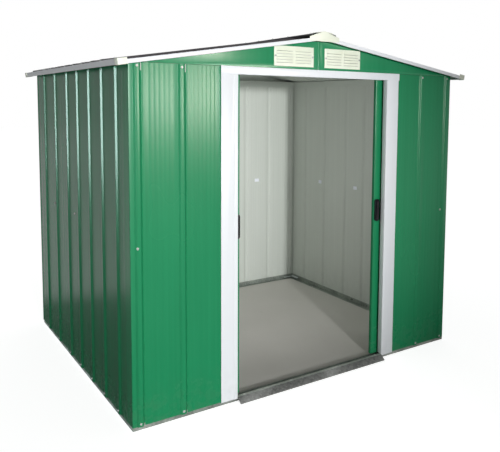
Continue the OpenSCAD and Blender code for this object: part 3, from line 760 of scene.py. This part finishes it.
grip_round = 0.0155
low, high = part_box("handle_left")
grip = start_block("door_grip_left", low, high)
choose(grip, "edges", lambda edge: abs(edge.verts[0].co.y - edge.verts[1].co.y) > 0.001)
bpy.ops.mesh.bevel(offset=grip_round, segments=8)
choose(grip, "faces", lambda face: face.normal.y < -0.9)
inset_steps((0.0045, 0), (0.0030, -0.0045), (0.0035, -0.0010))
bpy.ops.object.mode_set(mode="OBJECT")
dress(grip, black)
round_edges(grip, 0.0012, 35, segments=3)
bpy.ops.object.shade_smooth_by_angle(angle=math.radians(40))
other_grip = second_copy(grip, "door_grip_right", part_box("handle_right")[0] - low)
join_shell(grip, "black_moulding", "handle_left", body="left_door")
join_shell(other_grip, "black_moulding", "handle_right", body="right_door")


# ---------------------------------------------------------------------------
# Screws.
# Zinc-plated self-tapping screws with pan heads hold the sheets, each over a pale moulded
# washer. They stand on the ribs, where the sheet meets the rails.
# ---------------------------------------------------------------------------
washer_white, shader, place = new_finish("washer_moulding", Specular_IOR_Level=0.4)
grit = place.grain((1, 1, 1), 1500.0, 2.0)
connect(shader, base=grit.tint((0.50, 0.53, 0.50, 1), (0.64, 0.66, 0.63, 1)), roughness=0.40 + 0.15 * grit,
        height=grit, distance=0.0001, strength=0.3)
plated = zinc_finish("plated_screw", (0.34, 0.34, 0.33), (0.55, 0.55, 0.53), 0.4)

washer_r, washer_t, washer_top, head_r = 0.0056, 0.0010, 0.00149, 0.0041
bpy.ops.object.select_all(action="DESELECT")
bpy.ops.mesh.primitive_cylinder_add(vertices=14, radius=washer_r, depth=washer_t, location=(0, 0, washer_t / 2))
first_screw = bpy.context.object
dress(first_screw, washer_white, plated)
bpy.ops.object.mode_set(mode="EDIT")
choose(first_screw, "faces", lambda face: face.normal.z > 0.9)
inset_steps((0.0012, 0.0005), (0.0010, 0))
bpy.ops.mesh.extrude_region_shrink_fatten(TRANSFORM_OT_shrink_fatten={"value": 0.0012})
inset_steps((0.0009, 0.0008), (0.0012, 0), (0.0002, -0.0008))
bpy.ops.object.mode_set(mode="OBJECT")
for face in first_screw.data.polygons:
    face.material_index = 1 if face.center.xy.length < head_r and face.center.z > washer_top else 0
bpy.ops.object.transform_apply()
bpy.ops.object.shade_smooth_by_angle(angle=math.radians(40))


def scatter(name, first, spots):
    """Puts a copy of the first piece at each spot, a matrix, and joins the copies in one piece."""
    bpy.ops.object.select_all(action="DESELECT")
    copies = []
    for i, spot in enumerate(spots):
        copies.append(bpy.data.objects.new(f"{name}_{i}", first.data.copy()))
        bpy.context.scene.collection.objects.link(copies[-1])
        copies[-1].matrix_world = spot
        copies[-1].select_set(True)
    bpy.context.view_layer.objects.active = copies[-1]
    bpy.ops.object.transform_apply()
    return join_pieces(name, copies)


def fasten(name, places, slot="white_trim"):
    """Puts a screw at each (point, outward direction), no two turned the same way."""
    spots = []
    for i, (point, out) in enumerate(places):
        turn = Vector((0, 0, 1)).rotation_difference(Vector(out))
        spots.append(Matrix.Translation(point) @ turn.to_matrix().to_4x4() @ Matrix.Rotation(i * 1.3, 4, "Z"))
    join_shell(scatter(name, first_screw, spots), slot)


low_z, high_z, mid_z = 0.030, wall_z1 - 0.014, 0.82
back_mid_x, back_mid_z = 0.638, 0.84
side_mids, side_low_z, side_mid_z = (0.862, 1.280), 0.033, 0.845
places = []
for sx in (-1, 1):
    for along in [corner_rib] + front_ribs[:1]:
        places += [((sx * (half_w - along), -half_d, z), (0, -1, 0)) for z in (low_z, high_z)]
places += [((-0.962, -half_d, mid_z), (0, -1, 0)), ((0.937, rib_h - half_d, mid_z), (0, -1, 0))]
fasten("front_wall_screws", places)
places = []
for sx in (-1, 1):
    for along in [corner_rib] + back_ribs:
        places += [((sx * (half_w - along), half_d, z), (0, 1, 0)) for z in (low_z + 0.005, high_z)]
places += [((sx * back_mid_x, half_d - rib_h, back_mid_z), (0, 1, 0)) for sx in (-1, 1)]
fasten("back_wall_screws", places)
for side, sx in (("left", -1), ("right", 1)):
    places = [((sx * half_w, along - half_d, side_low_z), (sx, 0, 0)) for along in side_ribs_front + side_ribs_rear]
    places += [((sx * (half_w - rib_h), along - half_d, side_mid_z), (sx, 0, 0)) for along in side_mids]
    fasten(f"{side}_wall_screws", places)
low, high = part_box("vent_left")
places = [((sx * x, low.y + 0.0030, (low.z + high.z) / 2), (0, -1, 0))
          for sx in (-1, 1) for x in (-low.x - 0.007, -high.x + 0.007)]
fasten("vent_screws", places, slot="cream_moulding")
low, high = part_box("door_ramp")
ramp_screw_in, ramp_screw_xs = 0.0045, (-0.43, -0.15, 0.15, 0.43)
places = [((x, high.y - ramp_screw_in, high.z), (0, 0, 1)) for x in ramp_screw_xs]
fasten("ramp_screws", places, slot="zinc")
ridge_screw_down, eave_screw_in = 0.070, 0.060
for side, sx in (("left", -1), ("right", 1)):
    places = []
    for sy in (-1, 1):
        for k in range(roof_ribs):
            y = sy * (k + 0.5) * rib_step if k < roof_ribs - 1 else sy * (roof_y - roof_rib_foot / 2 - sheet_t)
            rise = roof_rib_h if k < roof_ribs - 1 else edge_rib_h
            for u, up in ((ridge_screw_down, cap_rise + 0.0002), (slope_len - eave_screw_in, rise + sheet_t)):
                places.append(((sx * (u * cos + up * sin), y, ridge_z - u * sin + up * cos), (sx * sin, 0, cos)))
    fasten(f"roof_screws_{side}", places, slot="slate_sheet")
bpy.data.objects.remove(first_screw)


# ---------------------------------------------------------------------------
# Wall clips.
# Small pale moulded plates inside, at half height, spread the load of the screws that join the
# wall panels. Each is a plain rectangle with a sunk face and a raised boss in the middle.
# ---------------------------------------------------------------------------
clip_white, shader, place = new_finish("clip_moulding", Specular_IOR_Level=0.45)
grit = place.grain((1, 1, 1), 600.0, 2.0)
connect(shader, base=grit.tint((0.82, 0.85, 0.93, 1), (0.90, 0.93, 0.99, 1)), roughness=0.32 + 0.12 * grit,
        height=grit, distance=0.0001, strength=0.3)
clip_wide, clip_tall, clip_deep = 0.036, 0.024, 0.0028
first_clip = start_block("first_clip", Vector((-clip_wide / 2, -clip_tall / 2, 0)),
                         Vector((clip_wide / 2, clip_tall / 2, clip_deep)))
choose(first_clip, "faces", lambda face: face.normal.z > 0.9)
inset_steps((0.0025, 0), (0.0008, -0.0009), (0.0030, 0), (0.0008, 0.0022))
bpy.ops.object.mode_set(mode="OBJECT")
dress(first_clip, clip_white)
bpy.ops.object.shade_smooth_by_angle(angle=math.radians(40))
inner = rib_h + sheet_t
places = [((sx * back_mid_x, half_d - inner, back_mid_z), (0, -1, 0)) for sx in (-1, 1)]
for sx in (-1, 1):
    places += [((sx * (half_w - inner), along - half_d, side_mid_z), (-sx, 0, 0)) for along in side_mids]
spots = [Matrix.Translation(point) @ Vector(out).to_track_quat("Z", "Y").to_matrix().to_4x4() for point, out in places]
join_shell(scatter("wall_clips", first_clip, spots), "white_trim")
bpy.data.objects.remove(first_clip)


# ---------------------------------------------------------------------------
# Floor, light and camera.
# A plain white studio. A spot from the front left is the key, and a card keeps part of it off the
# left wall. Three panels only shine in the paint, and a weak one only lights the inside.
# ---------------------------------------------------------------------------
bpy.ops.object.select_all(action="DESELECT")
bpy.ops.mesh.primitive_plane_add(size=60)
ground = bpy.context.object
ground.name = "studio_floor"
paper, shader, place = new_finish("studio_paper", Specular_IOR_Level=0.0)
tree = shader.id_data
ray = tree.nodes.new("ShaderNodeLightPath")
# White to the camera. The paint mirrors it lit only far from the camera and in front of the shed.
away = place.node("ShaderNodeVectorMath", {"operation": "DISTANCE"}, {0: place, 1: (-0.1, -3.36, 0)}, out=1)
front = 1.0 - place.node("ShaderNodeSeparateXYZ", {}, {0: place}, out=1).between(-2.4, -1.2)
glow = 0.84 * Wire(tree, ray.outputs["Is Camera Ray"]) + Wire(tree, ray.outputs["Is Glossy Ray"]) * (
    0.45 * away.between(4.6, 4.95) + 0.45 * front)
shader.inputs["Base Color"].default_value = (0.5, 0.5, 0.5, 1)
shader.inputs["Roughness"].default_value = 0.9
shader.inputs["Emission Strength"].default_value = 1
tree.links.new(glow.tint((0, 0, 0, 1), (1, 1, 1, 1)).socket, shader.inputs["Emission Color"])
dress(ground, paper)

world = bpy.data.worlds.new("studio_surround")
bpy.context.scene.world = world
world.use_nodes = True
tree = world.node_tree
back = tree.nodes["Background"]
back.inputs["Color"].default_value = (1, 1, 1, 1)
ray = tree.nodes.new("ShaderNodeLightPath")
seen = Wire(tree, ray.outputs["Is Camera Ray"])
mirrored = Wire(tree, ray.outputs["Is Glossy Ray"])
# White to the camera, dimmer in the paint, and brighter from the right and the rear on dull faces.
side = Wire(tree, tree.nodes.new("ShaderNodeTexCoord").outputs["Generated"])
across = side.node("ShaderNodeSeparateXYZ", {}, {0: side}, out=0)
along = side.node("ShaderNodeSeparateXYZ", {}, {0: side}, out=1)
soft = 0.30 + 0.20 * across + 0.15 * along + 0.22 * along.between(0.0, 1.0)
tree.links.new((seen + (1.0 - seen) * (0.45 * mirrored + soft * (1.0 - mirrored))).socket, back.inputs["Strength"])


def aim(thing, place, target):
    """Puts a lamp at a place, turned to its target."""
    thing.location = place
    thing.rotation_euler = (Vector(target) - Vector(place)).to_track_quat("-Z", "Y").to_euler()


lamp = bpy.data.lights.new("key", "SPOT")
lamp.energy, lamp.shadow_soft_size, lamp.spot_size, lamp.spot_blend = 2220, 0.2, math.radians(36.6), 0.73
key = bpy.data.objects.new("key", lamp)
bpy.context.scene.collection.objects.link(key)
aim(key, (-2.0, -8.57, 1.7), (-1.25, -0.83, 1.12))

for name, place, target, wide, tall, power, shade, lights_matt in (
        ("shine_wide", (1.05, -4.93, 1.56), (-0.75, -0.83, 1.5), 1.2, 0.62, 78, (1, 0.95, 0.92), False),
        ("shine_warm", (1.45, -4.90, 1.545), (-0.62, -0.83, 1.5), 0.42, 0.55, 28, (1, 0.80, 0.62), False),
        ("shine_left", (-3.9, -0.8, 1.42), (0.0, -0.8, 1.42), 2.6, 1.2, 340, (0.82, 0.93, 1), False),
        ("inside_fill", (-0.1, -0.50, 1.15), (0.25, 0.9, 1.0), 0.7, 0.9, 4.8, (1, 1, 1), True)):
    lamp = bpy.data.lights.new(name, "AREA")
    lamp.energy, lamp.shape, lamp.size, lamp.size_y, lamp.color = power, "RECTANGLE", wide, tall, shade
    panel = bpy.data.objects.new(name, lamp)
    panel.visible_camera = False
    panel.visible_diffuse = lights_matt
    panel.visible_glossy = not lights_matt
    bpy.context.scene.collection.objects.link(panel)
    aim(panel, place, target)

flag = upright_plane("studio_flag")
bpy.ops.transform.resize(value=(0.6, 1, 1.6), center_override=(0, 0, 0))
bpy.ops.transform.translate(value=(-1.318, -0.95, 0.8))
bpy.ops.object.mode_set(mode="OBJECT")
cloth, shader, place = new_finish("flag_cloth", Specular_IOR_Level=0.0)
shader.inputs["Base Color"].default_value = (0, 0, 0, 1)
shader.inputs["Alpha"].default_value = 0.6
dress(flag, cloth)
flag.visible_camera = flag.visible_diffuse = flag.visible_glossy = flag.visible_transmission = False

lens = bpy.data.cameras.new("camera")
lens.lens, lens.sensor_width, lens.shift_x, lens.shift_y = 44.505, 36, -0.0849, -0.1359
camera = bpy.data.objects.new("camera", lens)
bpy.context.scene.collection.objects.link(camera)
camera.matrix_world = (Matrix.Translation((-1.9028, -3.3596, 1.4508)) @ Matrix.Rotation(-0.6040, 4, "Z")
                       @ Matrix.Rotation(math.pi / 2 - 0.0882, 4, "X") @ Matrix.Rotation(0.0097, 4, "Z"))
bpy.context.scene.camera = camera
bpy.context.scene.view_settings.view_transform = "Standard"
